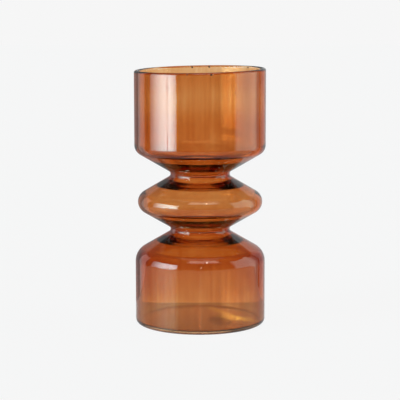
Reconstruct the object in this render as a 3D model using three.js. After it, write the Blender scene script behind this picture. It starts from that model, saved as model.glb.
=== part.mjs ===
// A tall glass vase: a wide open cup above, a flattened disc at the waist and a wide chamber below,
// joined by two narrow throats, on a flat base.
// It is worked on a glass lathe from three lengths of tube and one plate. Each tube is drawn in to
// its throat, where the glass gathers and thickens, and the four sections are sealed to each other
// edge to edge in the flame.
// Sizes are in millimetres. +Z is up, and the origin is the centre of the face that it stands on.

import * as THREE from "three";

// Outside radii of the round sections.
const CUP_RADIUS = 62.5;
const DISC_RADIUS = 59.4;
const CHAMBER_RADIUS = 62;
const THROAT_RADIUS = 28.3;

// Glass thickness of each section, of both throats and of the base plate.
const CUP_WALL = 4.2;
const DISC_WALL = 4;
const CHAMBER_WALL = 4;
const THROAT_WALL = 6.2;
const BASE_THICKNESS = 3.2;

// Width of the thick collar round each throat, out from the throat on the cone above and the cone
// below it, and the inner face's bend where the collar starts.
const COLLAR_ABOVE = 15.7;
const COLLAR_BELOW = 11.7;
const COLLAR_BEND = 12;

// Straight wall of the cup, and of the chamber above its standing face.
const CUP_WALL_HEIGHT = 72;
const CHAMBER_WALL_HEIGHT = 60.4;

// How far the rim's left side (-X) stands below its right side (+X), as cut by hand.
const RIM_SLANT = 2.1;

// Rise of every cone's outer face above the horizontal.
const CONE_SLOPE = THREE.MathUtils.degToRad(30.6);

// Bends of the outer face.
const CUP_BEND = 9.6;
const DISC_BEND = 10.8;
const SHOULDER_BEND = 15.3;
const THROAT_BEND = 3.4;
const HEEL_BEND = 4.4;

// Bends of the inner face under the cup's wall and round the disc's widest part. Both are rounder
// than an even wall would leave them, so that the glass is thickest in the middle of the bend.
const CUP_INNER_BEND = 8.4;
const DISC_INNER_BEND = 8;

// Bead of glass between the chamber's wall and its floor.
const FLOOR_FILLET = 2;

// Fineness of the facets: sides round the axis, and the angle that one facet of a bend turns.
const SIDES = 64;
const BEND_STEP = THREE.MathUtils.degToRad(15);

const QUARTER = Math.PI / 2;

// Points of an arc in the half plane of radius and height, from one angle to another.
function arc(centre, radius, from, to) {
  const steps = Math.max(2, Math.ceil(Math.abs(to - from) / BEND_STEP - 1e-6));
  return Array.from({ length: steps + 1 }, (_, i) => {
    const angle = from + ((to - from) * i) / steps;
    return new THREE.Vector2(
      centre.x + radius * Math.cos(angle),
      centre.y + radius * Math.sin(angle),
    );
  });
}

// Height from a throat's bend centre to the bend centre of a section of this radius, so that one
// straight cone runs from the one bend to the other.
function coneRise(sectionRadius, bend) {
  const run = sectionRadius - bend - (THROAT_RADIUS + THROAT_BEND);
  return (run * Math.sin(CONE_SLOPE) + bend + THROAT_BEND) / Math.cos(CONE_SLOPE);
}

// Centres of the bends, from the standing face up.
const heelCentre = new THREE.Vector2(CHAMBER_RADIUS - HEEL_BEND, HEEL_BEND);
const shoulderCentre = new THREE.Vector2(CHAMBER_RADIUS - SHOULDER_BEND, CHAMBER_WALL_HEIGHT);
const lowerThroatCentre = new THREE.Vector2(
  THROAT_RADIUS + THROAT_BEND,
  shoulderCentre.y + coneRise(CHAMBER_RADIUS, SHOULDER_BEND),
);
const discCentre = new THREE.Vector2(
  DISC_RADIUS - DISC_BEND,
  lowerThroatCentre.y + coneRise(DISC_RADIUS, DISC_BEND),
);
const upperThroatCentre = new THREE.Vector2(
  THROAT_RADIUS + THROAT_BEND,
  discCentre.y + coneRise(DISC_RADIUS, DISC_BEND),
);
const cupCentre = new THREE.Vector2(
  CUP_RADIUS - CUP_BEND,
  upperThroatCentre.y + coneRise(CUP_RADIUS, CUP_BEND),
);
const rimHeight = cupCentre.y + CUP_WALL_HEIGHT;

// The outer face from a throat's narrowest point up or down to the start of the cone.
function outerUp(throatCentre) {
  return arc(throatCentre, THROAT_BEND, Math.PI, QUARTER + CONE_SLOPE);
}

function outerDown(throatCentre) {
  return arc(throatCentre, THROAT_BEND, Math.PI, 3 * QUARTER - CONE_SLOPE);
}

// The start of the collar on a cone that rises from its throat: the centre of the inner face's bend
// there, from the throat's bend centre, and the flatter slope of the inner face from there inwards,
// which touches the throat's inner bend. Outside the collar the wall is even.
function collar(wall, width) {
  const along = new THREE.Vector2(Math.cos(CONE_SLOPE), Math.sin(CONE_SLOPE));
  const corner = new THREE.Vector2(-along.y, along.x).multiplyScalar(THROAT_BEND + wall);
  corner.addScaledVector(along, (width - THROAT_BEND - corner.x) / along.x);
  const slope = corner.angle() - Math.asin((THROAT_BEND + THROAT_WALL) / corner.length());
  const middle = (CONE_SLOPE + slope) / 2;
  const inward = new THREE.Vector2(-Math.sin(middle), Math.cos(middle));
  const reach = COLLAR_BEND / Math.cos((CONE_SLOPE - slope) / 2);
  return { centre: corner.addScaledVector(inward, reach), slope };
}

// The inner face from a throat's narrowest point up or down to the cone's even wall.
function innerUp(throatCentre, wall) {
  const { centre, slope } = collar(wall, COLLAR_ABOVE);
  const bendCentre = throatCentre.clone().add(centre);
  return [
    ...arc(throatCentre, THROAT_BEND + THROAT_WALL, Math.PI, QUARTER + slope),
    ...arc(bendCentre, COLLAR_BEND, slope - QUARTER, CONE_SLOPE - QUARTER),
  ];
}

function innerDown(throatCentre, wall) {
  const { centre, slope } = collar(wall, COLLAR_BELOW);
  const bendCentre = new THREE.Vector2(throatCentre.x + centre.x, throatCentre.y - centre.y);
  return [
    ...arc(throatCentre, THROAT_BEND + THROAT_WALL, Math.PI, 3 * QUARTER - slope),
    ...arc(bendCentre, COLLAR_BEND, QUARTER - slope, QUARTER - CONE_SLOPE),
  ];
}

// A ring turned about the axis from a closed outline that runs up its outside and down its inside.
function turned(outline) {
  const closed = [...outline, outline[0].clone()];
  return new THREE.LatheGeometry(closed, SIDES).rotateX(QUARTER);
}

// The centre of the cup's inner bend, which touches the inner faces of the wall and of the cone.
function cupInnerCentre() {
  const inset = CUP_BEND - CUP_WALL - CUP_INNER_BEND;
  const drop = (inset * (1 - Math.sin(CONE_SLOPE))) / Math.cos(CONE_SLOPE);
  return new THREE.Vector2(cupCentre.x + inset, cupCentre.y - drop);
}

// The centre of the disc's inner bend, which touches the inner faces of both cones.
function discInnerCentre() {
  const inset = (DISC_BEND - DISC_WALL - DISC_INNER_BEND) / Math.sin(CONE_SLOPE);
  return new THREE.Vector2(discCentre.x + inset, discCentre.y);
}

// The cup's straight wall ends in a rim rounded by the flame, and only the rim is out of level.
function cupGeometry() {
  const rimBend = CUP_WALL / 2;
  const rimCentre = new THREE.Vector2(CUP_RADIUS - rimBend, rimHeight - rimBend);
  const outside = [
    ...outerUp(upperThroatCentre),
    ...arc(cupCentre, CUP_BEND, CONE_SLOPE - QUARTER, 0),
  ];
  const inside = [
    ...arc(cupInnerCentre(), CUP_INNER_BEND, 0, CONE_SLOPE - QUARTER),
    ...innerUp(upperThroatCentre, CUP_WALL).reverse(),
  ];
  const geometry = turned([...outside, ...arc(rimCentre, rimBend, 0, Math.PI), ...inside]);
  const position = geometry.getAttribute("position");
  for (let i = 0; i < position.count; i++) {
    const share = THREE.MathUtils.clamp((position.getZ(i) - cupCentre.y) / CUP_WALL_HEIGHT, 0, 1);
    const lift = (RIM_SLANT / 2) * (position.getX(i) / CUP_RADIUS) * share;
    position.setZ(i, position.getZ(i) + lift);
  }
  geometry.computeVertexNormals();
  return geometry;
}

// The disc is two cones that meet in one round bend at its widest.
function discGeometry() {
  const half = QUARTER - CONE_SLOPE;
  const outside = [
    ...outerUp(lowerThroatCentre),
    ...arc(discCentre, DISC_BEND, -half, half),
    ...outerDown(upperThroatCentre).reverse(),
  ];
  const inside = [
    ...innerDown(upperThroatCentre, DISC_WALL),
    ...arc(discInnerCentre(), DISC_INNER_BEND, half, -half),
    ...innerUp(lowerThroatCentre, DISC_WALL).reverse(),
  ];
  return turned([...outside, ...inside]);
}

// The heel's bend is cut at the height of the plate's upper face. The plate's edge is the part below
// it, and the foot of the chamber's wall is the part above it.
const plateCorner = new THREE.Vector2(CHAMBER_RADIUS, BASE_THICKNESS);
const heelSplit = Math.asin(Math.min(BASE_THICKNESS / HEEL_BEND - 1, 0));

function plateEdge() {
  const edge = arc(heelCentre, HEEL_BEND, -QUARTER, heelSplit);
  return BASE_THICKNESS > HEEL_BEND ? [...edge, plateCorner] : edge;
}

function wallFoot() {
  return BASE_THICKNESS < HEEL_BEND ? arc(heelCentre, HEEL_BEND, heelSplit, 0) : [plateCorner];
}

// The chamber stands on the base plate, and its fillet stops one step short of a feather edge.
function chamberGeometry() {
  const filletCentre = new THREE.Vector2(
    CHAMBER_RADIUS - CHAMBER_WALL - FLOOR_FILLET,
    BASE_THICKNESS + FLOOR_FILLET,
  );
  const fillet = arc(filletCentre, FLOOR_FILLET, 0, BEND_STEP - QUARTER);
  const outside = [
    ...wallFoot(),
    ...arc(shoulderCentre, SHOULDER_BEND, 0, QUARTER - CONE_SLOPE),
    ...outerDown(lowerThroatCentre).reverse(),
  ];
  const inside = [
    ...innerDown(lowerThroatCentre, CHAMBER_WALL),
    ...arc(shoulderCentre, SHOULDER_BEND - CHAMBER_WALL, QUARTER - CONE_SLOPE, 0),
    ...fillet,
    new THREE.Vector2(fillet.at(-1).x, BASE_THICKNESS),
  ];
  return turned([...outside, ...inside]);
}

// The base plate is flat on both faces.
function baseGeometry() {
  return turned([new THREE.Vector2(0, 0), ...plateEdge(), new THREE.Vector2(0, BASE_THICKNESS)]);
}

// Clear glass with an amber stain.
function amberGlass() {
  return new THREE.MeshStandardMaterial({
    color: 0xb4642d,
    roughness: 0.05,
    metalness: 0,
    transparent: true,
    opacity: 0.6,
  });
}

function section(name, geometry) {
  const mesh = new THREE.Mesh(geometry, amberGlass());
  mesh.name = name;
  return mesh;
}

const vase = new THREE.Group();
vase.add(
  section("base_disc", baseGeometry()),
  section("lower_chamber", chamberGeometry()),
  section("waist_disc", discGeometry()),
  section("upper_cup", cupGeometry()),
);

export default vase;
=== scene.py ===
"""A tall glass vase, lathe-worked from clear tube, with an amber lustre on the inner face of the glass."""

import math
import bpy
import numpy as np
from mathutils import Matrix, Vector


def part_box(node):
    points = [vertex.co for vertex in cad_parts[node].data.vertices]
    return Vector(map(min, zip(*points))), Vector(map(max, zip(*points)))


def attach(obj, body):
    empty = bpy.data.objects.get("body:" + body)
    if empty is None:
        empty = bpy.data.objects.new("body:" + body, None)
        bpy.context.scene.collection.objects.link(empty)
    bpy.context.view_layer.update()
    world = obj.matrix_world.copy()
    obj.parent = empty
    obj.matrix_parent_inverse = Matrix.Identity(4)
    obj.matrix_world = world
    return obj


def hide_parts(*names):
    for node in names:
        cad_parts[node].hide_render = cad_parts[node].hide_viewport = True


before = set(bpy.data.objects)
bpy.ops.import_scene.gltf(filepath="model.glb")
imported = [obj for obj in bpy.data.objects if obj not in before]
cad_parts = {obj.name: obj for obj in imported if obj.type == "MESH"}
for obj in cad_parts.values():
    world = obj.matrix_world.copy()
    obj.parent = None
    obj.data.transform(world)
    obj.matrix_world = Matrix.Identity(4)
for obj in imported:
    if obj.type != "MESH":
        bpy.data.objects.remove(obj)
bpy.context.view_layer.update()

MM = 0.001

# Radii and heights of the sections, from the solids' boxes.
CHAMBER_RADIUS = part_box("lower_chamber")[1].x
DISC_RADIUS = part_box("waist_disc")[1].x
CUP_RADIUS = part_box("upper_cup")[1].x
PLATE_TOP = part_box("base_disc")[1].z
LOWER_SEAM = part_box("waist_disc")[0].z
UPPER_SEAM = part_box("waist_disc")[1].z

# What the boxes don't tell: throats, thickness of the glass, slope of the cones and height of the cup's
# straight wall, and how far the rim is out of level from side to side.
THROAT_RADIUS = 28.3 * MM
CUP_WALL = 4.2 * MM
DISC_WALL = 4.0 * MM
CHAMBER_WALL = 4.0 * MM
THROAT_WALL = 6.2 * MM
CONE_SLOPE = math.radians(30.6)
CUP_WALL_HEIGHT = 72 * MM
RIM_SLANT = 2.1 * MM

# Distance from the axis at which the glass starts to gather towards a throat, on the cones above and below.
COLLAR_ABOVE = 44 * MM
COLLAR_BELOW = 40 * MM

# Bends of the outer face, and then of the inner face.
CUP_BEND = 9.6 * MM
DISC_BEND = 10.8 * MM
SHOULDER_BEND = 15.3 * MM
THROAT_BEND = 3.4 * MM
HEEL_BEND = 4.4 * MM
CUP_INNER_BEND = 8.4 * MM
DISC_INNER_BEND = 8 * MM
COLLAR_BEND = 12 * MM
FLOOR_FILLET = 2 * MM

# Fineness of the surfaces: steps round the axis and round a bend, rings along the tube and along the
# shorter cones, the length that counts as none, and the radius that counts as on the axis.
SEGMENTS = 128
BEND_STEP = math.radians(3)
RING_SPACING = 3 * MM
CONE_SPACING = 0.5 * MM
LONGEST_CONE = 40 * MM
NO_LENGTH = 1e-7
ON_AXIS = 1e-9

# Hand-worked waviness: its greatest height on the worked parts, its share on the plain tube, how far the
# two blend into each other, and how it starts above the plate and away from the axis. Lengths run along
# the face, and fewer than WAVE_ROUNDS waves go round the axis.
WAVE_HEIGHT = 0.05 * MM
WAVE_SHARE_ON_TUBE = 0.3
WAVE_BLEND = 6 * MM
WAVE_START = 12 * MM
WAVE_START_RADIUS = 10 * MM
WAVE_SEED = 11
WAVE_COUNT = 9
WAVE_ROUNDS = 6
WAVE_LENGTHS = (14 * MM, 60 * MM)

# Ridges that the tool leaves round each throat: height on the inner and outer face, number and lengths
# as for the waves, and the distances from the throat at which they start to fade and end.
RIDGES_INSIDE = 0.09 * MM
RIDGES_OUTSIDE = 0.02 * MM
RIDGE_SEED_STEP = 10
RIDGE_COUNT = 7
RIDGE_ROUNDS = 3
RIDGE_LENGTHS = (2.8 * MM, 8 * MM)
RIDGE_REACH = 13 * MM
RIDGE_END = 18 * MM

# Steps along the face and round the axis over which the slope of the waves is taken.
SLOPE_STEP = 0.1 * MM
SLOPE_TURN = 1e-3

# Clear glass. Its faint relief is noise with a size round the glass, a size up it, detail and depth: draw
# lines of the tube outside, and rings of the shaping tool inside.
GLASS_IOR = 1.47
DRAW_LINES = (3 * MM, 90 * MM, 2.0, 0.01 * MM)
TOOL_RINGS = (60 * MM, 2.5 * MM, 1.0, 0.006 * MM)

# The amber film: what one straight pass leaves of the light at an amount of 1, the amount at heights above
# the table, and the top of the scale that amounts are drawn on.
FILM_TINT = (0.70, 0.35, 0.135)
FILM_AT_HEIGHTS = (
    (0 * MM, 0.62),
    (8 * MM, 0.66),
    (28 * MM, 0.8),
    (45 * MM, 1.02),
    (59 * MM, 1.06),
    (65 * MM, 1.5),
    (71 * MM, 0.92),
    (80 * MM, 0.92),
    (91 * MM, 1.15),
    (100 * MM, 1.05),
    (110 * MM, 0.7),
    (124 * MM, 0.66),
    (135 * MM, 1.0),
    (144 * MM, 1.15),
    (154 * MM, 0.98),
    (166 * MM, 0.86),
    (187 * MM, 0.95),
    (204 * MM, 0.8),
    (217 * MM, 0.72),
    (236 * MM, 0.84),
    (243 * MM, 0.6),
)
MOST_FILM = 2

# Noise in the film's amount: size round the glass, size up it, detail, and how much it changes the amount.
FILM_CLOUDS = (16 * MM, 30 * MM, 1.0, 0.4)
FILM_STREAKS = (2.5 * MM, 120 * MM, 2.0, 0.5)

# Share of the film on the plate's edge, and the depths of its two faces under the glass.
EDGE_FILM_SHARE = 0.4
FILM_DEPTHS = (0.08 * MM, 0.03 * MM)

# Slant of the light through the film, as the cosine of its angle: below STEEPEST_PATH the way through
# gets no longer, and over the span FLAT_LIGHT the film's effect falls to the share FLAT_LIGHT_SHARE.
STEEPEST_PATH = 0.5
FLAT_LIGHT = (0.05, 0.65)
FLAT_LIGHT_SHARE = 0.15

# Grains of scale at the rim: place across, whether on the far wall, how far below the rim, and size.
SPECKS = (
    (-7.6 * MM, True, 1.6 * MM, 1.8 * MM),
    (9.2 * MM, True, 1.5 * MM, 2.0 * MM),
    (46.4 * MM, True, 1.6 * MM, 1.5 * MM),
    (10.3 * MM, False, 1.9 * MM, 1.9 * MM),
    (-11.7 * MM, False, 1.4 * MM, 1.3 * MM),
)

# Shape of a grain: half its thickness as a share of its size, how deep its middle lies in the glass, its
# uneven outline, and its mesh.
SPECK_FLATNESS = 0.35
SPECK_SINK = 0.1 * MM
SPECK_UNEVENNESS = (0.8, 1.15)
SPECK_SIDES = 10
SPECK_RINGS = 5
SPECK_SEED = 5

# Colours of the scale, and the noise that mixes them: size round the glass, size up it and detail.
SCALE_GRAIN = (0.2 * MM, 0.2 * MM, 2.0)
SCALE_DARK = (0.012, 0.006, 0.004, 1)
SCALE_BROWN = (0.07, 0.035, 0.02, 1)

# The camera, which looks along +Y and a little down. Its sensor and lens are in millimetres.
CAMERA_DISTANCE = 1491.49 * MM
CAMERA_HEIGHT = 332.933 * MM
CAMERA_PITCH = math.radians(8.18285)
SENSOR_WIDTH = 36
LENS = 141.75
CAMERA_ROLL = math.radians(0.09)
CAMERA_SHIFT = 0.0006
CAMERA_CLIP = (0.01, 100)

# What the camera sees beside the vase: an even pale background, and a pale paper on the floor.
PALE = 0.922
PAPER_REACH = 6000 * MM
PAPER_DROP = 0.1 * MM
PAPER_TONE = 0.03
PAPER_ROUGHNESS = 0.9
PAPER_GLOW = 0.897

# The table that the glass shows and mirrors: how far it reaches, and how far behind the vase it ends.
TABLE_REACH = 1100 * MM
TABLE_BACK = 91 * MM
TABLE_DROP = 0.3 * MM
TABLE_TONE = 0.1
TABLE_GLOSS = 0.135
TABLE_GLOSS_COLOUR = (1.0, 0.93, 0.74)
TABLE_ROUGHNESS = 0.15

# Light on the table: from the front to the back of the vase's shade, and outside the shade.
TABLE_GLOWS = (0.2, 0.56)
TABLE_GLOW_SPAN = (-60 * MM, 50 * MM)
OPEN_TABLE_GLOW = 0.55
SHADED_RADII = (46 * MM, 60 * MM)

# Light that the vase gathers on the table, and one deeper shade: place, turn, half length, half width
# and strength. Noise of the sizes SPOT_GRAIN breaks up the light, from none of it at the noise's lower
# limit to all of it at the upper one.
SPOT_COLOUR = (0.6, 1.05, 0.5)
SHADE_COLOUR = (1, 1, 1)
SPOT_GRAIN = (1.6 * MM, 4 * MM, 1.0)
SPOT_GRAIN_LIMITS = (0.4, 0.62)
TABLE_SPOTS = (
    ((25 * MM, 27 * MM), math.radians(-60), 40 * MM, 7 * MM, 3.0),
    ((35 * MM, 4 * MM), math.radians(-35), 26 * MM, 13 * MM, 4.8),
    ((19 * MM, -6 * MM), math.radians(-80), 26 * MM, 11 * MM, -1.7),
)

QUARTER = math.pi / 2


def grey(tone):
    """A neutral colour."""
    return (tone, tone, tone)


def lit_patch(azimuth, elevation, soft, colour, fade=(0, 0), mirrored=None):
    """A part of the studio that gives light.

    It spans two azimuths and two elevations in degrees, and its edges are soft over some degrees. It can
    also fade over a width at its left and its right side. Where mirrored is given, a ray that the glass
    mirrors sees only that share of the light, and a ray that comes through the glass sees all of it.
    """
    return azimuth, elevation, soft, colour, fade, mirrored


# Brightness of the dark room, and what is lit in it. Azimuths count from the camera, left negative.
ROOM = 0.1
WINDOW = (9.0, 13.8, 15.6)
WINDOW_HEIGHTS = (-16, 26)
PANEL = (1.6, 2.2, 2.1)
LEFT_HEIGHTS = (-91, 27)
RIGHT_HEIGHTS = (-91, 31)
LIGHTS = (
    # The window on the left, in two panes, and the large panel on the right.
    lit_patch((-96.9, -59.1), WINDOW_HEIGHTS, 1.2, WINDOW, fade=(42, 0)),
    lit_patch((-57.9, -41.3), WINDOW_HEIGHTS, 1.2, WINDOW, fade=(0, 14)),
    lit_patch((61.5, 117.5), (-17, 40), 1.5, PANEL, fade=(8, 10)),
    # A strip overhead and two small lamps.
    lit_patch((-30, 45), (46, 66), 8, grey(2.6)),
    lit_patch((13.5, 16.5), (48, 52), 1, grey(25)),
    lit_patch((-0.6, 1.8), (12, 14.4), 0.6, grey(12)),
    # The pale backdrop in uneven parts, from the left round the back to the right.
    lit_patch((-137, -113), LEFT_HEIGHTS, 6, grey(0.95)),
    lit_patch((-162, -137), LEFT_HEIGHTS, 6, grey(0.25)),
    lit_patch((-184, -162), LEFT_HEIGHTS, 6, grey(0.84), mirrored=0.2),
    lit_patch((154.5, 184), RIGHT_HEIGHTS, 7, grey(0.84), mirrored=0.5),
    lit_patch((146.5, 157), RIGHT_HEIGHTS, 2, grey(1.25), fade=(0, 6), mirrored=0.4),
    lit_patch((131, 146.5), RIGHT_HEIGHTS, 2, grey(0.95), mirrored=0.4),
    lit_patch((116, 126), RIGHT_HEIGHTS, 2, grey(0.4)),
    # The dim wall behind the camera, and the ceiling.
    lit_patch((-36, 56), (-17, 35), 10, grey(0.4), mirrored=0.05),
    lit_patch((-181, 181), (68, 91), 8, grey(0.6)),
)

# A fade starts this share of its width outside the left side, or ends this share outside the right side.
FADE_OVERLAPS = (0.2, 0.6)

# Fineness of the map that Blender samples the studio's light by, and how often light may bounce: in the
# glass, off glossy faces and off dull ones.
STUDIO_MAP_SIZE = 1024
GLASS_BOUNCES = 48
GLOSSY_BOUNCES = 24
DIFFUSE_BOUNCES = 3


def cone_rise(section_radius, bend):
    """Height from a throat's bend centre to the bend centre of the section that its cone runs to."""
    run = section_radius - bend - (THROAT_RADIUS + THROAT_BEND)
    return (run * math.sin(CONE_SLOPE) + bend + THROAT_BEND) / math.cos(CONE_SLOPE)


# Centres of the bends, as radius and height.
HEEL = np.array([CHAMBER_RADIUS - HEEL_BEND, HEEL_BEND])
SHOULDER_HEIGHT = LOWER_SEAM - cone_rise(CHAMBER_RADIUS, SHOULDER_BEND)
SHOULDER = np.array([CHAMBER_RADIUS - SHOULDER_BEND, SHOULDER_HEIGHT])
LOWER_THROAT = np.array([THROAT_RADIUS + THROAT_BEND, LOWER_SEAM])
DISC = np.array([DISC_RADIUS - DISC_BEND, (LOWER_SEAM + UPPER_SEAM) / 2])
UPPER_THROAT = np.array([THROAT_RADIUS + THROAT_BEND, UPPER_SEAM])
CUP = np.array([CUP_RADIUS - CUP_BEND, UPPER_SEAM + cone_rise(CUP_RADIUS, CUP_BEND)])
RIM = np.array([CUP_RADIUS - CUP_WALL / 2, CUP[1] + CUP_WALL_HEIGHT - CUP_WALL / 2])
FILLET = np.array([CHAMBER_RADIUS - CHAMBER_WALL - FLOOR_FILLET, PLATE_TOP + FLOOR_FILLET])


def collar(throat, wall, radius, side):
    """Where the glass starts to gather towards a throat, on the cone above it (side 1) or below it (-1).

    Returns the centre of the bend there, and the slope of the inner face from there to the throat.
    """
    rise = np.array([math.cos(CONE_SLOPE), math.sin(CONE_SLOPE)])
    inward = np.array([-rise[1], rise[0]])
    start = (THROAT_BEND + wall) * inward
    corner = start + rise * (radius - throat[0] - start[0]) / rise[0]
    flatter = math.asin((THROAT_BEND + THROAT_WALL) / math.hypot(*corner))
    slope = math.atan2(corner[1], corner[0]) - flatter
    middle = (CONE_SLOPE + slope) / 2
    reach = COLLAR_BEND / math.cos((CONE_SLOPE - slope) / 2)
    centre = corner + reach * np.array([-math.sin(middle), math.cos(middle)])
    return throat + centre * (1, side), slope


def cup_inner_centre():
    """Centre of the cup's inner bend, which touches the inner faces of the wall and of the cone."""
    inset = CUP_BEND - CUP_WALL - CUP_INNER_BEND
    return CUP + (inset, -inset * (1 - math.sin(CONE_SLOPE)) / math.cos(CONE_SLOPE))


def disc_inner_centre():
    """Centre of the disc's inner bend, which touches the inner faces of both cones."""
    return DISC + ((DISC_BEND - DISC_WALL - DISC_INNER_BEND) / math.sin(CONE_SLOPE), 0)


class Face:
    """One face of the glass in the half plane of radius and height: points, with normals out of the glass."""

    def __init__(self, start, normal):
        self.points = [np.array(start, float)]
        self.normals = [np.array(normal, float)]
        self.marks = {}

    def line_to(self, point):
        """Straight stretch, in even steps, with one normal all along."""
        start = self.points[-1]
        length = math.dist(start, point)
        if length < NO_LENGTH:
            return
        along = (point - start) / length
        steps = math.ceil(length / (CONE_SPACING if length < LONGEST_CONE else RING_SPACING))
        for i in range(1, steps + 1):
            self.points.append(start + (point - start) * i / steps)
            self.normals.append(np.array([along[1], -along[0]]))

    def bend(self, centre, radius, begin, end, outward):
        """Arc about a centre, after the straight stretch that leads to it."""
        side = 1 if outward else -1
        steps = max(2, math.ceil(abs(end - begin) / BEND_STEP))
        for i in range(steps + 1):
            angle = begin + (end - begin) * i / steps
            spoke = np.array([math.cos(angle), math.sin(angle)])
            point = centre + radius * spoke
            if i == 0:
                self.line_to(point)
                continue
            self.points.append(point)
            self.normals.append(side * spoke)

    def mark(self, name):
        """Names the last point."""
        self.marks[name] = len(self.points) - 1

    def done(self):
        """The finished face, with the way along it to each point."""
        self.points = np.array(self.points)
        self.normals = np.array(self.normals)
        steps = np.linalg.norm(np.diff(self.points, axis=0), axis=1)
        self.along = np.concatenate([[0], np.cumsum(steps)])
        return self


def outer_face():
    """From the middle of the standing face up to the top of the rim and over it."""
    face = Face((0, 0), (0, -1))
    split = math.asin(PLATE_TOP / HEEL_BEND - 1)
    half = QUARTER - CONE_SLOPE
    face.line_to(np.array([HEEL[0], 0]))
    face.mark("heel")
    face.bend(HEEL, HEEL_BEND, -QUARTER, split, True)
    face.mark("plate")
    face.bend(HEEL, HEEL_BEND, split, 0, True)
    face.bend(SHOULDER, SHOULDER_BEND, 0, half, True)
    face.bend(LOWER_THROAT, THROAT_BEND, 3 * QUARTER - CONE_SLOPE, math.pi, False)
    face.mark("lower")
    face.bend(LOWER_THROAT, THROAT_BEND, math.pi, QUARTER + CONE_SLOPE, False)
    face.bend(DISC, DISC_BEND, -half, half, True)
    face.bend(UPPER_THROAT, THROAT_BEND, 3 * QUARTER - CONE_SLOPE, math.pi, False)
    face.mark("upper")
    face.bend(UPPER_THROAT, THROAT_BEND, math.pi, QUARTER + CONE_SLOPE, False)
    face.bend(CUP, CUP_BEND, CONE_SLOPE - QUARTER, 0, True)
    face.line_to(RIM + (CUP_WALL / 2, 0))
    face.mark("rim")
    face.bend(RIM, CUP_WALL / 2, 0, math.pi, True)
    return face.done()


def inner_face():
    """From the inner edge of the rim down to the middle of the floor."""
    throat = THROAT_BEND + THROAT_WALL
    even = QUARTER - CONE_SLOPE
    face = Face((RIM[0] - CUP_WALL / 2, RIM[1]), (-1, 0))

    def down_to(centre, wall):
        """From the cone above a throat to the throat's narrowest point."""
        bend, slope = collar(centre, wall, COLLAR_ABOVE, 1)
        face.bend(bend, COLLAR_BEND, -even, slope - QUARTER, False)
        face.bend(centre, throat, QUARTER + slope, math.pi, True)

    def down_from(centre, wall):
        """From a throat's narrowest point to the cone below it."""
        bend, slope = collar(centre, wall, COLLAR_BELOW, -1)
        face.bend(centre, throat, math.pi, 3 * QUARTER - slope, True)
        face.bend(bend, COLLAR_BEND, QUARTER - slope, even, False)

    face.bend(cup_inner_centre(), CUP_INNER_BEND, 0, -even, False)
    down_to(UPPER_THROAT, CUP_WALL)
    face.mark("upper")
    down_from(UPPER_THROAT, DISC_WALL)
    face.bend(disc_inner_centre(), DISC_INNER_BEND, even, -even, False)
    down_to(LOWER_THROAT, DISC_WALL)
    face.mark("lower")
    down_from(LOWER_THROAT, CHAMBER_WALL)
    face.bend(SHOULDER, SHOULDER_BEND - CHAMBER_WALL, even, 0, False)
    face.bend(FILLET, FLOOR_FILLET, 0, -QUARTER, False)
    face.mark("plate")
    face.line_to(np.array([0, PLATE_TOP]))
    return face.done()


def smooth(value, low, high):
    """A smooth step from 0 to 1 between two limits."""
    share = np.clip((value - low) / (high - low), 0, 1)
    return share * share * (3 - 2 * share)


def waves(seed, number, most_rounds, limits):
    """Waves round the axis and along the face: a function of angle and way along that stays within 1."""
    random = np.random.default_rng(seed)
    rounds = random.integers(0, most_rounds, number)
    lengths = random.uniform(*limits, number)
    shares = lengths / lengths.sum()
    turns = random.uniform(0, 2 * math.pi, (2, number))

    def height(angle, along):
        """Sum of the waves at an angle and a way along."""
        total = np.zeros(np.broadcast(angle, along).shape)
        for count, length, share, first, second in zip(rounds, lengths, shares, *turns):
            total += share * np.cos(count * angle + first) * np.cos(2 * math.pi * along / length + second)
        return total

    return height


def wave_share(points):
    """How much of the waviness each point takes: none on the base, little on the plain tube."""
    radius, height = points[:, 0], points[:, 1]
    above_shoulder = smooth(height, SHOULDER[1] - WAVE_BLEND, SHOULDER[1] + WAVE_BLEND)
    below_cup = 1 - smooth(height, CUP[1] - WAVE_BLEND, CUP[1] + WAVE_BLEND)
    worked = np.maximum(above_shoulder * below_cup, WAVE_SHARE_ON_TUBE)
    above_plate = smooth(height, PLATE_TOP, PLATE_TOP + WAVE_START)
    return worked * above_plate * smooth(radius, 0, WAVE_START_RADIUS)


def rim_lift(x, z):
    """Rise of the cup towards its rim, which is cut a little out of level, and its slope along x."""
    share = np.clip((z - CUP[1]) / CUP_WALL_HEIGHT, 0, 1)
    slope = RIM_SLANT / 2 / CUP_RADIUS * share
    return slope * x, slope


def ridge_share(points):
    """How much of the ridges each point takes: all of them near a throat, and none on the sections' bends."""
    away = np.minimum(np.abs(points[:, 1] - LOWER_SEAM), np.abs(points[:, 1] - UPPER_SEAM))
    reach = np.hypot(points[:, 0] - THROAT_RADIUS, away)
    return 1 - smooth(reach, RIDGE_REACH, RIDGE_END)


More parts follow.
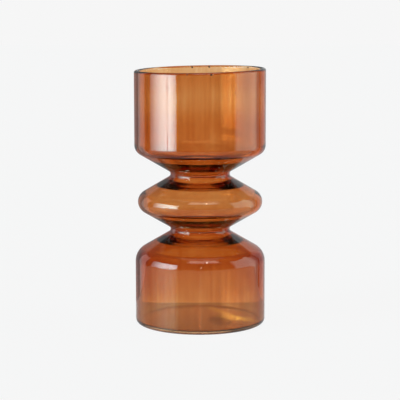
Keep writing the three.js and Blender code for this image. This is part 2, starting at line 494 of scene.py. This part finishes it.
def turned(face, seed, ridges):
    """Points and normals of a face turned about the axis, one ring of them for each point of the face."""
    angle = np.arange(SEGMENTS) * 2 * math.pi / SEGMENTS
    spoke = np.stack([np.cos(angle), np.sin(angle)], -1)
    along = face.along[:, None]
    wave_height = wave_share(face.points)[:, None] * WAVE_HEIGHT
    ridge_height = ridge_share(face.points)[:, None] * ridges
    slow = waves(seed, WAVE_COUNT, WAVE_ROUNDS, WAVE_LENGTHS)
    quick = waves(seed + RIDGE_SEED_STEP, RIDGE_COUNT, RIDGE_ROUNDS, RIDGE_LENGTHS)

    def relief(angle, along):
        """Height over the plain face. The waves only sink below it, so the glass stays inside its box."""
        return wave_height * (slow(angle, along) - 1) / 2 + ridge_height * (quick(angle, along) - 1) / 2

    def slope(turn, step):
        """Rise of the relief per unit of a step, which goes either round the axis or along the face."""
        return (relief(angle + turn, along + step) - relief(angle - turn, along - step)) / (2 * (turn + step))

    rise = slope(0, SLOPE_STEP)
    round_rise = slope(SLOPE_TURN, 0) / np.maximum(face.points[:, :1], MM)
    forward = np.stack([-face.normals[:, 1], face.normals[:, 0]], -1)
    normal = face.normals[:, None, :] - rise[..., None] * forward[:, None, :]
    point = face.points[:, None, :] + relief(angle, along)[..., None] * face.normals[:, None, :]
    places = np.concatenate([point[..., :1] * spoke, point[..., 1:]], -1)
    across = np.stack([-spoke[:, 1], spoke[:, 0]], -1)
    normals = np.concatenate([normal[..., :1] * spoke - round_rise[..., None] * across, normal[..., 1:]], -1)
    lift, tilt = rim_lift(places[..., 0], places[..., 2])
    places[..., 2] += lift
    normals[..., 0] -= tilt * normals[..., 2]
    normals /= np.linalg.norm(normals, axis=-1, keepdims=True)
    return places, normals


# The faces of a piece, as places in its list of materials: outside, inside, and seams to its neighbours.
OUTSIDE, INSIDE, SEAM = range(3)


def seam(start, end):
    """The flat ring where a piece meets its neighbour, from one ring of points to another."""
    places = np.stack([start, end])
    faces_up = np.hypot(*end[0, :2]) < np.hypot(*start[0, :2])
    normals = np.zeros_like(places)
    normals[..., 2] = 1 if faces_up else -1
    return places, normals, SEAM


def closed_mesh(name, runs, materials):
    """A closed mesh from runs of rings, each of which starts where the last one ended.

    A ring on the axis becomes one point. Runs that don't start on the axis end at their first ring again.
    """
    places = np.concatenate([runs[0][0], *[run[0][1:] for run in runs[1:]]])
    on_axis = np.hypot(places[..., 0], places[..., 1]).max(axis=1) < ON_AXIS
    rings = len(places) if on_axis[0] else len(places) - 1
    numbers = np.arange(rings * SEGMENTS).reshape(rings, SEGMENTS)
    numbers[on_axis[:rings]] = numbers[on_axis[:rings]][:, :1]
    used, numbers = np.unique(numbers, return_inverse=True)
    numbers = numbers.reshape(rings, SEGMENTS)
    polygons, normals, kinds = [], [], []
    ring = 0
    for _, run_normals, kind in runs:
        for low_normals, high_normals in zip(run_normals, run_normals[1:]):
            low, high = numbers[ring], numbers[(ring + 1) % rings]
            corners = [(low, low_normals), (np.roll(low, -1), np.roll(low_normals, -1, 0))]
            corners += [(np.roll(high, -1), np.roll(high_normals, -1, 0)), (high, high_normals)]
            if low[0] == low[1]:
                corners.pop(1)
            elif high[0] == high[1]:
                corners.pop(2)
            polygons.extend(np.stack([points for points, _ in corners], -1).tolist())
            normals.append(np.stack([directions for _, directions in corners], 1).reshape(-1, 3))
            kinds.extend([kind] * SEGMENTS)
            ring += 1
    mesh = bpy.data.meshes.new(name)
    mesh.from_pydata(places[:rings].reshape(-1, 3)[used].tolist(), [], polygons)
    for material in materials:
        mesh.materials.append(material)
    mesh.polygons.foreach_set("material_index", kinds)
    mesh.polygons.foreach_set("use_smooth", [True] * len(kinds))
    mesh.normals_split_custom_set(np.concatenate(normals).tolist())
    return mesh


def add_object(name, data):
    """A new object in the scene."""
    thing = bpy.data.objects.new(name, data)
    bpy.context.scene.collection.objects.link(thing)
    return thing


def add_piece(name, mesh, slot, *nodes):
    """A piece of the vase, in place of the nodes that it stands for."""
    piece = add_object(name, mesh)
    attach(piece, "root")
    if nodes:
        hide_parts(*nodes)


def section(rings, start, end):
    """Part of a turned face, between two of its rings."""
    places, normals = rings
    return places[start:end + 1], normals[start:end + 1]


def glass_sections(materials):
    """The four sections of glass, each a closed piece that meets the next at a flat ring, the films, and
    painted shade at the throats.
    """
    outer, inner = outer_face(), inner_face()
    outside = turned(outer, WAVE_SEED, RIDGES_OUTSIDE)
    inside = turned(inner, WAVE_SEED + 1, RIDGES_INSIDE)
    up, down = outer.marks, inner.marks
    top, floor = len(outer.points) - 1, len(inner.points) - 1
    spans = {
        "base_disc": ("base_glass", (0, up["plate"]), (down["plate"], floor)),
        "lower_chamber": ("chamber_glass", (up["plate"], up["lower"]), (down["lower"], down["plate"])),
        "waist_disc": ("disc_glass", (up["lower"], up["upper"]), (down["upper"], down["lower"])),
        "upper_cup": ("cup_glass", (up["upper"], top), (0, down["upper"])),
    }
    for node, (slot, rising, falling) in spans.items():
        out_places, out_normals = section(outside, *rising)
        in_places, in_normals = section(inside, *falling)
        runs = [(out_places, out_normals, OUTSIDE)]
        if node != "upper_cup":
            runs.append(seam(out_places[-1], in_places[0]))
        runs.append((in_places, in_normals, INSIDE))
        if node != "base_disc":
            runs.append(seam(in_places[-1], out_places[0]))
        name = node + "_glass"
        add_piece(name, closed_mesh(name, runs, materials["glass"]), slot, node)
        lined = (in_places, in_normals)
        if node == "upper_cup":
            over = section(outside, up["rim"], top)
            lined = tuple(np.concatenate([a, b[1:]]) for a, b in zip(over, lined))
        add_film(node + "_film", lined, materials["film"], slot)
    # Amber sheets across the glass at the two throats: painted shade, which dims the light that comes through
    # the neck's glass.
    for mark, slot in (("lower", "disc_glass"), ("upper", "cup_glass")):
        ring = np.stack([outside[0][up[mark]], inside[0][down[mark]]])
        upward = np.zeros_like(ring) + (0, 0, 1)
        add_film(mark + "_seam_shade_film", (ring, upward), materials["film"], slot)
    edge = section(outside, up["heel"], up["plate"])
    add_film("base_edge_film", edge, materials["edge"], "base_glass")


def add_film(name, lined, materials, slot):
    """The film on part of the glass's face, as a closed skin just under it: tinted below, clear above."""
    places, normals = lined
    low, high = (places - normals * depth for depth in FILM_DEPTHS)
    up = (low, normals, INSIDE)
    back = (high[::-1], -normals[::-1], OUTSIDE)
    edges = [(low[-1], high[-1]), (high[0], low[0])]
    ends = [(np.stack(pair), np.zeros((2, SEGMENTS, 3)) + (0, 0, 1), OUTSIDE) for pair in edges]
    on_axis = np.hypot(*low[-1, 0, :2]) < ON_AXIS
    runs = [back, ends[1], up] if on_axis else [up, ends[0], back, ends[1]]
    add_piece(name, closed_mesh(name, runs, materials), slot)


def lump(centre, outward, size, random):
    """Points and faces of a small flat grain of scale that is fused into the glass."""
    side = outward.orthogonal().normalized()
    other = outward.cross(side)
    points, faces = [], []
    for ring in range(1, SPECK_RINGS):
        polar = math.pi * ring / SPECK_RINGS
        for i in range(SPECK_SIDES):
            turn = 2 * math.pi * i / SPECK_SIDES
            reach = size / 2 * math.sin(polar) * random.uniform(*SPECK_UNEVENNESS)
            flat = side * math.cos(turn) * reach + other * math.sin(turn) * reach
            points.append(centre + flat + outward * math.cos(polar) * size * SPECK_FLATNESS)
    rings = np.arange(len(points)).reshape(-1, SPECK_SIDES).tolist()
    for low, high in zip(rings, rings[1:]):
        for i in range(SPECK_SIDES):
            j = (i + 1) % SPECK_SIDES
            faces.append((low[i], high[i], high[j], low[j]))
    faces.append(tuple(rings[0]))
    faces.append(tuple(reversed(rings[-1])))
    return points, faces


def rim_specks(material):
    """Grains of dark scale just under the rim."""
    random = np.random.default_rng(SPECK_SEED)
    points, faces = [], []
    for across, far, drop, size in SPECKS:
        radius = CUP_RADIUS - CUP_WALL if far else CUP_RADIUS
        angle = math.acos(across / radius) * (1 if far else -1)
        outward = Vector((math.cos(angle), math.sin(angle), 0))
        height = RIM[1] + CUP_WALL / 2 - drop
        centre = outward * radius + Vector((0, 0, height + rim_lift(across, height)[0]))
        centre -= outward * SPECK_SINK * (-1 if far else 1)
        new_points, new_faces = lump(centre, outward, size, random)
        faces.extend(tuple(i + len(points) for i in face) for face in new_faces)
        points.extend(new_points)
    mesh = bpy.data.meshes.new("rim_specks")
    mesh.from_pydata([tuple(p) for p in points], [], faces)
    mesh.materials.append(material)
    mesh.polygons.foreach_set("use_smooth", [True] * len(faces))
    add_piece("rim_specks", mesh, "cup_glass")


class Nodes:
    """Adds nodes to a tree. An input that is a socket is linked, and any other is set on the node."""

    def __init__(self, tree):
        self.tree = tree

    def add(self, kind, inputs, **settings):
        """A new node, with its inputs and settings."""
        node = self.tree.nodes.new(kind)
        for name, value in settings.items():
            setattr(node, name, value)
        for name, value in inputs.items():
            socket = node.inputs[name]
            if isinstance(value, bpy.types.NodeSocket):
                self.tree.links.new(value, socket)
            elif isinstance(value, tuple) and len(value) == 3 and socket.type == "RGBA":
                socket.default_value = (*value, 1)
            else:
                socket.default_value = value
        return node

    def math(self, operation, *values):
        """The outcome of one sum, product or the like."""
        return self.add("ShaderNodeMath", dict(enumerate(values)), operation=operation).outputs[0]

    def ramp(self, value, low, high, first=0.0, last=1.0):
        """A smooth step of a value between two limits."""
        inputs = {"Value": value, "From Min": low, "From Max": high, "To Min": first, "To Max": last}
        return self.add("ShaderNodeMapRange", inputs, interpolation_type="SMOOTHSTEP").outputs[0]

    def add_scaled(self, total, colour, share):
        """A running sum of colours, with a share of one more colour added."""
        scaled = self.add("ShaderNodeVectorMath", {0: colour, "Scale": share}, operation="SCALE").outputs[0]
        return self.add("ShaderNodeVectorMath", {0: total, 1: scaled}, operation="ADD").outputs[0]


def principled(name, **inputs):
    """A material with one Principled shader, and the helper that adds nodes to it."""
    material = bpy.data.materials.new(name)
    material.use_nodes = True
    shader = material.node_tree.nodes["Principled BSDF"]
    for key, value in inputs.items():
        shader.inputs[key.replace("_", " ")].default_value = value
    return material, Nodes(material.node_tree), shader


def empty_material(name):
    """A material without any nodes yet, and the helper that adds them."""
    material = bpy.data.materials.new(name)
    material.use_nodes = True
    material.node_tree.nodes.clear()
    return material, Nodes(material.node_tree)


def object_place(nodes):
    """Where a point is on its piece, in metres."""
    return nodes.add("ShaderNodeTexCoord", {}).outputs["Object"]


def stretched_noise(nodes, across, along, detail):
    """Noise in the piece's own metres, with one size of feature round the glass and another up it."""
    scale = (1 / across, 1 / across, 1 / along)
    mapped = nodes.add("ShaderNodeMapping", {"Vector": object_place(nodes), "Scale": scale}).outputs[0]
    inputs = {"Vector": mapped, "Scale": 1.0, "Detail": detail, "Roughness": 0.5}
    return nodes.add("ShaderNodeTexNoise", inputs).outputs["Fac"]


def polished_glass(name, relief):
    """Clear fire-polished glass with a faint relief."""
    look = {"Base_Color": (1, 1, 1, 1), "Roughness": 0.0, "IOR": GLASS_IOR, "Transmission_Weight": 1.0}
    material, nodes, shader = principled(name, **look)
    across, along, detail, depth = relief
    height = stretched_noise(nodes, across, along, detail)
    bump = nodes.add("ShaderNodeBump", {"Height": height, "Distance": depth, "Strength": 1.0})
    nodes.tree.links.new(bump.outputs["Normal"], shader.inputs["Normal"])
    return material


def height_curve(nodes, height, stops):
    """A value that runs through the stops, each a height and the value there."""
    top = stops[-1][0]
    curve = nodes.add("ShaderNodeFloatCurve", {"Value": nodes.math("DIVIDE", height, top)})
    line = curve.mapping.curves[0]
    curve.mapping.clip_max_y = MOST_FILM
    for number, (place, value) in enumerate(stops):
        if 0 < number < len(stops) - 1:
            line.points.new(place / top, value)
    line.points[0].location = (0, stops[0][1])
    line.points[-1].location = (1, stops[-1][1])
    curve.mapping.update()
    return curve.outputs[0]


def film_amount(nodes):
    """How dense the film is from place to place: denser round the throats, with clouds and fine streaks."""
    height = nodes.add("ShaderNodeSeparateXYZ", {"Vector": object_place(nodes)}).outputs["Z"]
    amount = height_curve(nodes, height, FILM_AT_HEIGHTS)
    for across, along, detail, strength in (FILM_CLOUDS, FILM_STREAKS):
        uneven = nodes.math("SUBTRACT", stretched_noise(nodes, across, along, detail), 0.5)
        amount = nodes.math("MULTIPLY_ADD", uneven, strength, amount)
    return amount


def amber_film(name, share):
    """The lustre: it tints what passes through it, and more so at a slant, as a thin layer does.

    Light that strikes it so flatly that the glass mirrors it all back hardly enters the lustre.
    """
    material, nodes = empty_material(name)
    facing = nodes.add("ShaderNodeLayerWeight", {"Blend": 0.5}).outputs["Facing"]
    cosine = nodes.math("SUBTRACT", 1.0, facing)
    entered = nodes.ramp(cosine, *FLAT_LIGHT, FLAT_LIGHT_SHARE * share, share)
    path = nodes.math("DIVIDE", film_amount(nodes), nodes.math("MAXIMUM", cosine, STEEPEST_PATH))
    path = nodes.math("MULTIPLY", path, entered)
    tint = nodes.add("ShaderNodeGamma", {"Color": FILM_TINT, "Gamma": path})
    clear = nodes.add("ShaderNodeBsdfTransparent", {"Color": tint.outputs[0]})
    nodes.add("ShaderNodeOutputMaterial", {"Surface": clear.outputs[0]})
    return material


def melted_seam():
    """Nothing shows where two sections were melted together."""
    material, nodes = empty_material("melted_seam")
    clear = nodes.add("ShaderNodeBsdfTransparent", {})
    nodes.add("ShaderNodeOutputMaterial", {"Surface": clear.outputs[0]})
    return material


def dark_scale():
    """Dark brown metal scale, dull and a little rough."""
    material, nodes, shader = principled("dark_scale", Roughness=0.55, Metallic=0.2)
    grain = stretched_noise(nodes, *SCALE_GRAIN)
    ramp = nodes.add("ShaderNodeValToRGB", {"Fac": grain})
    for element, colour in zip(ramp.color_ramp.elements, (SCALE_DARK, SCALE_BROWN)):
        element.color = colour
    nodes.tree.links.new(ramp.outputs["Color"], shader.inputs["Base Color"])
    return material


def add_stage(name, reach, back, drop, material, seen_by):
    """A flat rectangle that isn't part of the vase, and the kinds of ray that see it."""
    corners = [(-reach, -reach, -drop), (reach, -reach, -drop), (reach, back, -drop), (-reach, back, -drop)]
    mesh = bpy.data.meshes.new(name)
    mesh.from_pydata(corners, [], [range(len(corners))])
    mesh.materials.append(material)
    sheet = add_object(name, mesh)
    for kind in ("camera", "diffuse", "glossy", "transmission", "shadow"):
        setattr(sheet, "visible_" + kind, kind in seen_by)


def paper():
    """The pale floor that the camera sees: almost shadowless, as a lit sweep is."""
    look = {
        "Base_Color": (*grey(PAPER_TONE), 1),
        "Roughness": PAPER_ROUGHNESS,
        "Specular_IOR_Level": 0.0,
        "Emission_Color": (1, 1, 1, 1),
        "Emission_Strength": PAPER_GLOW,
    }
    material = principled("pale_paper", **look)[0]
    add_stage("paper", PAPER_REACH, PAPER_REACH, PAPER_DROP, material, ("camera",))


def table_light(nodes):
    """Painted light on the table, which is no lamp: a pale glow in place of the light falling on it, less in
    the vase's shade, and spots of painted light and shade.
    """
    place = object_place(nodes)
    depth = nodes.add("ShaderNodeSeparateXYZ", {"Vector": place}).outputs["Y"]
    shaded = nodes.ramp(depth, *TABLE_GLOW_SPAN, *TABLE_GLOWS)
    away = nodes.add("ShaderNodeVectorMath", {"Vector": place}, operation="LENGTH").outputs["Value"]
    glow = nodes.math("MAXIMUM", shaded, nodes.ramp(away, *SHADED_RADII, 0.0, OPEN_TABLE_GLOW))
    grain = nodes.add("ShaderNodeVectorMath", {0: place, 1: SPOT_GRAIN}, operation="DIVIDE").outputs[0]
    grain = nodes.add("ShaderNodeTexNoise", {"Vector": grain, "Scale": 1.0, "Detail": 2.0}).outputs["Fac"]
    total = nodes.add("ShaderNodeCombineXYZ", {"X": glow, "Y": glow, "Z": glow}).outputs[0]
    for (x, y), turn, length, width, strength in TABLE_SPOTS:
        laid = {"Location": (x, y, 0), "Rotation": (0, 0, turn), "Scale": (length, width, 1)}
        spot = nodes.add("ShaderNodeMapping", {"Vector": place, **laid}, vector_type="TEXTURE").outputs[0]
        spot = nodes.add("ShaderNodeTexGradient", {"Vector": spot}, gradient_type="SPHERICAL").outputs[1]
        if strength > 0:
            spot = nodes.math("MULTIPLY", spot, nodes.ramp(grain, *SPOT_GRAIN_LIMITS))
        colour = SPOT_COLOUR if strength > 0 else SHADE_COLOUR
        total = nodes.add_scaled(total, tuple(strength * part for part in colour), spot)
    return nodes.add("ShaderNodeVectorMath", {0: total, 1: (0, 0, 0)}, operation="MAXIMUM").outputs[0]


def table():
    """The table that the glass shows and mirrors: pale, a little glossy, with its far edge close behind."""
    material, nodes = empty_material("pale_table")
    flat = nodes.add("ShaderNodeBsdfDiffuse", {"Color": grey(TABLE_TONE)})
    glow = nodes.add("ShaderNodeEmission", {"Color": table_light(nodes), "Strength": 1.0})
    lit = nodes.add("ShaderNodeAddShader", {0: flat.outputs[0], 1: glow.outputs[0]})
    gloss = nodes.add("ShaderNodeBsdfGlossy", {"Color": TABLE_GLOSS_COLOUR, "Roughness": TABLE_ROUGHNESS})
    mix = nodes.add("ShaderNodeMixShader", {"Fac": TABLE_GLOSS, 1: lit.outputs[0], 2: gloss.outputs[0]})
    nodes.add("ShaderNodeOutputMaterial", {"Surface": mix.outputs[0]})
    seen_by = ("diffuse", "glossy", "transmission", "shadow")
    add_stage("table", TABLE_REACH, TABLE_BACK, TABLE_DROP, material, seen_by)


def directions(nodes):
    """The way that a ray goes: azimuth from the camera, left negative, and elevation, in degrees."""
    way = nodes.add("ShaderNodeTexCoord", {}).outputs["Generated"]
    parts = nodes.add("ShaderNodeSeparateXYZ", {"Vector": way}).outputs
    toward_camera = nodes.math("MULTIPLY", parts["Y"], -1.0)
    azimuth = nodes.math("MULTIPLY", nodes.math("ARCTAN2", parts["X"], toward_camera), math.degrees(1))
    elevation = nodes.math("MULTIPLY", nodes.math("ARCSINE", parts["Z"]), math.degrees(1))
    return azimuth, elevation


def between(nodes, value, low, high, soft):
    """1 where a value lies between two limits and 0 outside them, with soft steps at both."""
    rise = nodes.ramp(value, low - soft / 2, low + soft / 2)
    fall = nodes.ramp(value, high - soft / 2, high + soft / 2, 1.0, 0.0)
    return nodes.math("MULTIPLY", rise, fall)


def faded(nodes, share, azimuth, limits, fade):
    """A patch's share with its fades at the left and the right side."""
    (low, high), (left, right) = limits, fade
    left_overlap, right_overlap = FADE_OVERLAPS
    if left:
        ramp = nodes.ramp(azimuth, low - left * left_overlap, low + left)
        share = nodes.math("MULTIPLY", share, ramp)
    if right:
        ramp = nodes.ramp(azimuth, high - right, high + right * right_overlap, 1.0, 0.0)
        share = nodes.math("MULTIPLY", share, ramp)
    return share


def studio_light(nodes, mirrored_ray):
    """Light of the dark room and its lit patches, by direction."""
    azimuth, elevation = directions(nodes)
    total = nodes.add("ShaderNodeCombineXYZ", {"X": ROOM, "Y": ROOM, "Z": ROOM}).outputs[0]
    for sides, heights, soft, colour, fade, mirrored in LIGHTS:
        across = between(nodes, azimuth, *sides, soft)
        up = between(nodes, elevation, *heights, soft)
        share = faded(nodes, nodes.math("MULTIPLY", across, up), azimuth, sides, fade)
        if mirrored is not None:
            dimmed = nodes.math("MULTIPLY_ADD", mirrored_ray, mirrored - 1, 1.0)
            share = nodes.math("MULTIPLY", share, dimmed)
        total = nodes.add_scaled(total, colour, share)
    return total


def surroundings():
    """The studio round the vase. The camera itself sees only an even pale background."""
    world = bpy.data.worlds.new("studio")
    bpy.context.scene.world = world
    world.use_nodes = True
    world.node_tree.nodes.clear()
    nodes = Nodes(world.node_tree)
    ray = nodes.add("ShaderNodeLightPath", {}).outputs
    mirrored_ray = nodes.math("SUBTRACT", 1.0, ray["Is Transmission Ray"])
    total = studio_light(nodes, mirrored_ray)
    shown = nodes.add("ShaderNodeBackground", {"Color": grey(PALE), "Strength": 1.0})
    lit = nodes.add("ShaderNodeBackground", {"Color": total, "Strength": 1.0})
    inputs = {"Fac": ray["Is Camera Ray"], 1: lit.outputs[0], 2: shown.outputs[0]}
    mix = nodes.add("ShaderNodeMixShader", inputs)
    nodes.add("ShaderNodeOutputWorld", {"Surface": mix.outputs[0]})
    world.cycles.sampling_method = "MANUAL"
    world.cycles.sample_map_resolution = STUDIO_MAP_SIZE


def camera():
    """The camera where the photograph was taken from."""
    data = bpy.data.cameras.new("camera")
    data.sensor_width = SENSOR_WIDTH
    data.lens = LENS
    data.shift_x = CAMERA_SHIFT
    data.clip_start, data.clip_end = CAMERA_CLIP
    view = add_object("camera", data)
    view.location = (0, -CAMERA_DISTANCE, CAMERA_HEIGHT)
    view.rotation_euler = (QUARTER - CAMERA_PITCH, CAMERA_ROLL, 0)
    bpy.context.scene.camera = view


def light_paths():
    """Enough bounces for light that is caught in the wall, and colours shown as they are."""
    scene = bpy.context.scene
    scene.view_settings.view_transform = "Standard"
    cycles = scene.cycles
    cycles.max_bounces = GLASS_BOUNCES
    cycles.transmission_bounces = GLASS_BOUNCES
    cycles.transparent_max_bounces = GLASS_BOUNCES
    cycles.glossy_bounces = GLOSSY_BOUNCES
    cycles.diffuse_bounces = DIFFUSE_BOUNCES
    cycles.sample_clamp_indirect = 0
    cycles.use_denoising = True


camera()
light_paths()
surroundings()
paper()
table()
clear = melted_seam()
outside_glass = polished_glass("clear_glass", DRAW_LINES)
inside_glass = polished_glass("inner_glass", TOOL_RINGS)
glass_sections({
    "glass": [outside_glass, inside_glass, clear],
    "film": [clear, amber_film("amber_film", 1.0), clear],
    "edge": [clear, amber_film("thin_amber_film", EDGE_FILM_SHARE), clear],
})
rim_specks(dark_scale())
